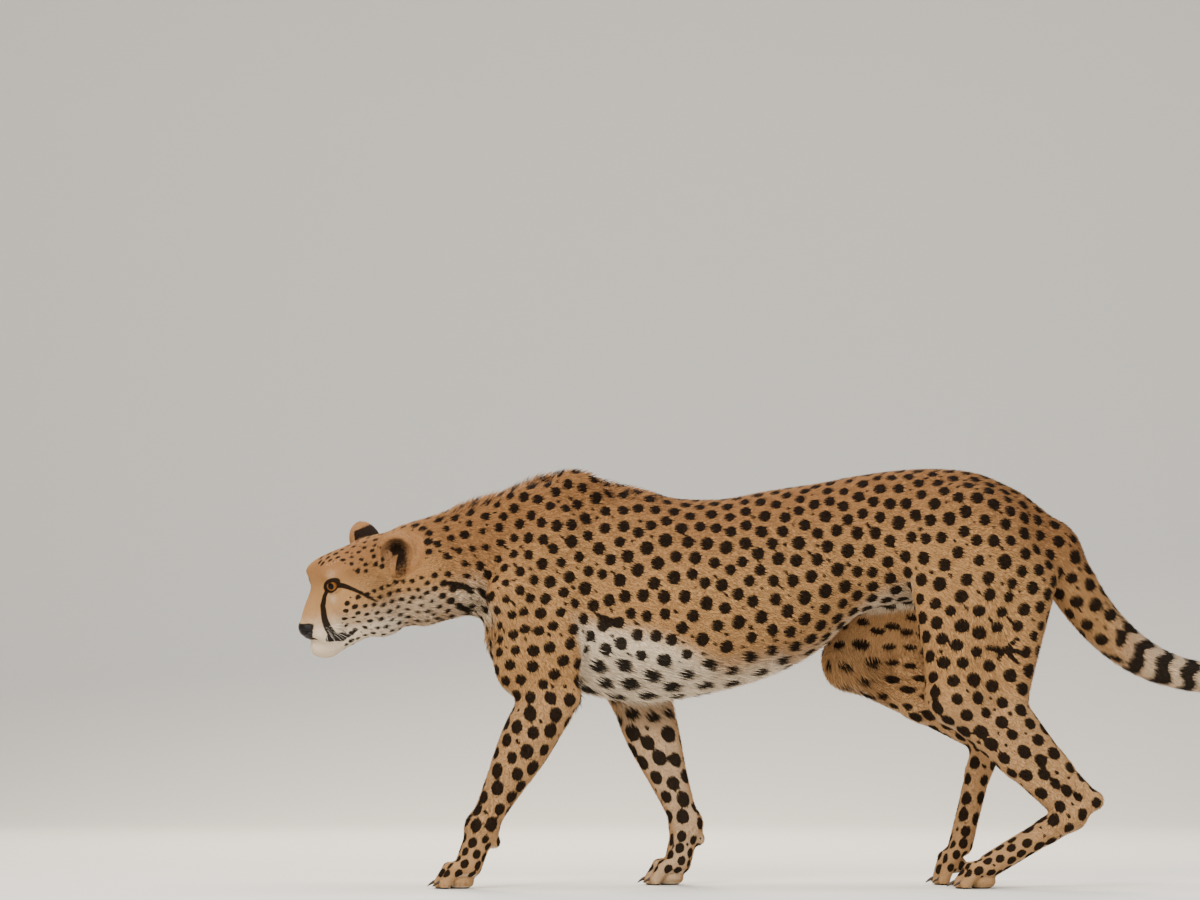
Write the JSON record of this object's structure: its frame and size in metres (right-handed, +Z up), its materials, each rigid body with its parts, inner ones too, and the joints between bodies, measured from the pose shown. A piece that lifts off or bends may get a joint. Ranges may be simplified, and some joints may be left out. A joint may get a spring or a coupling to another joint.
{
  "type": "cheetah",
  "caption": "Life-size still cheetah in a low walk, head down and turned a little left, left foreleg and right hind leg forward.",
  "frame": {"origin": "bottom centre of the bounding box, on the floor under the paws", "axes": "+X from head to tail, +Y to the animal's right side, +Z up"},
  "size_m": [1.8246, 0.2768, 0.6996],
  "materials": {
    "coat": "short golden tan fur with solid black spots, white below",
    "eye": "wet amber eye with a black pupil",
    "nose_leather": "moist black nose leather",
    "claw": "dark horn"
  },
  "bodies": {
    "root": {"chest": "coat", "ear_left": "coat", "ear_right": "coat", "eye_left": "eye", "eye_right": "eye", "forearm_left": "coat", "forearm_right": "coat", "forepaw_left": "coat", "forepaw_left_claw_1": "claw", "forepaw_left_claw_2": "claw", "forepaw_left_claw_3": "claw", "forepaw_left_claw_4": "claw", "forepaw_left_dewclaw": "claw", "forepaw_right": "coat", "forepaw_right_claw_1": "claw", "forepaw_right_claw_2": "claw", "forepaw_right_claw_3": "claw", "forepaw_right_claw_4": "claw", "forepaw_right_dewclaw": "claw", "head": "coat", "hindfoot_left": "coat", "hindfoot_left_claw_1": "claw", "hindfoot_left_claw_2": "claw", "hindfoot_left_claw_3": "claw", "hindfoot_left_claw_4": "claw", "hindfoot_right": "coat", "hindfoot_right_claw_1": "claw", "hindfoot_right_claw_2": "claw", "hindfoot_right_claw_3": "claw", "hindfoot_right_claw_4": "claw", "hips": "coat", "loin": "coat", "neck": "coat", "nose": "nose_leather", "shank_left": "coat", "shank_right": "coat", "shoulder_left": "coat", "shoulder_right": "coat", "tail_base": "coat", "tail_end": "coat", "tail_middle": "coat", "thigh_left": "coat", "thigh_right": "coat"}
  },
  "joints": []
}
